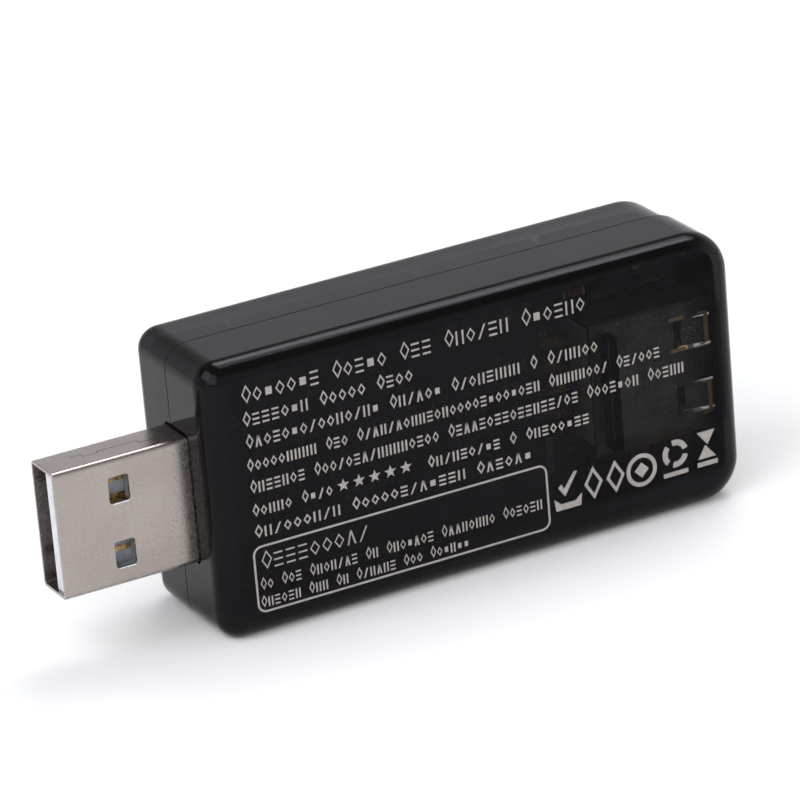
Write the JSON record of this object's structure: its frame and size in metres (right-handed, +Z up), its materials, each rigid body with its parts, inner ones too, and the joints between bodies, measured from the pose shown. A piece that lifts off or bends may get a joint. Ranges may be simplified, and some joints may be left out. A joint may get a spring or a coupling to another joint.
{
  "type": "usb power meter",
  "caption": "Slim smoked-plastic inline USB power meter with a plug at one end, a socket at the other, a display window and a push button.",
  "frame": {"origin": "under the middle of the whole length, on the surface that the long edge stands on", "axes": "+X from the plug to the socket, +Y from the printed back to the display front, +Z up across the width"},
  "size_m": [0.0666, 0.0142, 0.0262],
  "materials": {
    "smoked_plastic": "polished smoked clear plastic, nearly black",
    "window_plastic": "polished dark tinted sheet",
    "black_foam": "soft matt foam and adhesive",
    "button_plastic": "smooth moulded black plastic",
    "black_moulding": "matt moulded plastic",
    "switch_steel": "bright pressed steel",
    "plunger_plastic": "matt moulded plastic",
    "tinned_metal": "dull tin plate",
    "white_tape": "foam tape",
    "white_plastic": "white light guide",
    "display_glass": "dark display glass",
    "ribbon_film": "amber film with copper tracks",
    "plug_nickel": "satin nickel plate",
    "socket_metal": "satin nickel plate",
    "contact_gold": "thin gold plate",
    "white_nylon": "white moulded nylon",
    "board_laminate": "green solder mask",
    "chip_moulding": "black moulding compound",
    "resistor_ceramic": "glazed black top on white ceramic",
    "capacitor_ceramic": "tan ceramic with tinned ends",
    "lamp_resin": "red resin"
  },
  "bodies": {
    "case": {"amplifier_chip": "chip_moulding", "amplifier_leads": "tinned_metal", "capacitors": "capacitor_ceramic", "controller_chip": "chip_moulding", "controller_leads": "tinned_metal", "display_backlight": "white_plastic", "display_gasket": "black_foam", "display_glass": "display_glass", "display_ribbon": "ribbon_film", "display_tape": "white_tape", "display_window": "window_plastic", "front_cover": "smoked_plastic", "main_board": "board_laminate", "memory_chip": "chip_moulding", "memory_leads": "tinned_metal", "plug_contacts": "contact_gold", "plug_insulator": "white_nylon", "plug_shell": "plug_nickel", "rear_cover": "smoked_plastic", "regulator_chip": "chip_moulding", "regulator_tab": "tinned_metal", "resistors": "resistor_ceramic", "shunt_resistor": "resistor_ceramic", "signal_lamp": "lamp_resin", "socket_contacts": "contact_gold", "socket_shell": "socket_metal", "socket_tongue": "white_nylon", "switch_base": "black_moulding", "switch_cover": "switch_steel", "switch_dome": "switch_steel", "switch_terminals": "tinned_metal", "window_adhesive": "black_foam"},
    "button": {"button_cap": "button_plastic", "switch_plunger": "plunger_plastic"}
  },
  "joints": [
    {"name": "button_press", "type": "slide", "parent": "case", "child": "button", "axis": [0, -1, 0], "range_m": [0, 0.00025], "stiffness_N_per_m": 4000, "springref_m": -0.0001}
  ]
}
